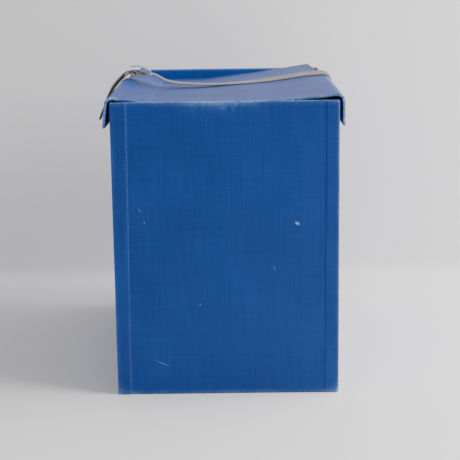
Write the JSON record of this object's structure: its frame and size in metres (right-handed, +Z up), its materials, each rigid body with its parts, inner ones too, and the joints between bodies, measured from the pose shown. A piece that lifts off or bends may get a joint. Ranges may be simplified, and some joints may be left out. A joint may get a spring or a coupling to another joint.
{
  "type": "strapped document box",
  "caption": "Tall cloth-covered board box with a sagging hinged lid, two side lips, a webbing strap over the lid and a small lever buckle.",
  "frame": {"origin": "centre of the box's footprint, on the surface it stands on", "axes": "+Z up; the front, the face with the two corner strips, faces -Y; +X to the right of someone facing the front; the depth runs along Y"},
  "size_m": [0.2885, 0.38, 0.3537],
  "materials": {
    "board": "matte grey-brown millboard",
    "book_cloth": "worn, starched, linen-grained blue book cloth",
    "hinge_cloth": "blue book cloth, less worn",
    "lining_paper": "matte off-white paper",
    "paper_tape": "matte buff gummed tape",
    "webbing": "woven greige cotton webbing",
    "buckle_metal": "nickel-plated sheet steel, slightly tarnished",
    "rivet_metal": "dull brass"
  },
  "bodies": {
    "box": {"base_board": "board", "front_board": "board", "back_board": "board", "left_board": "board", "right_board": "board", "base_cover": "book_cloth", "front_cover": "book_cloth", "back_cover": "book_cloth", "left_cover": "book_cloth", "right_cover": "book_cloth", "base_lining": "lining_paper", "front_lining": "lining_paper", "back_lining": "lining_paper", "left_lining": "lining_paper", "right_lining": "lining_paper", "corner_tapes": "paper_tape", "hinge_wall_leaf": "hinge_cloth"},
    "lid": {"lid_cover": "book_cloth", "lid_board": "board", "lid_lining": "lining_paper", "left_lip_board": "board", "left_lip_cover": "book_cloth", "right_lip_board": "board", "right_lip_cover": "book_cloth", "hinge_lid_leaf": "hinge_cloth", "long_strap": "webbing", "buckle_strap": "webbing", "buckle_frame": "buckle_metal", "buckle_bar": "buckle_metal", "lever_pin": "buckle_metal", "left_rivet": "rivet_metal", "left_washer": "rivet_metal", "right_rivet": "rivet_metal", "right_washer": "rivet_metal"},
    "lever": {"buckle_lever": "buckle_metal"}
  },
  "joints": [
    {"name": "lid_hinge", "type": "hinge", "parent": "box", "child": "lid", "pos_m": [0, 0.1861, 0.3323], "axis": [-1, 0, 0], "range_deg": [0, 115]},
    {"name": "lever_pivot", "type": "hinge", "parent": "lid", "child": "lever", "pos_m": [-0.0945, 0.013, 0.34655], "axis": [0, 1, 0], "range_deg": [0, 95]}
  ]
}
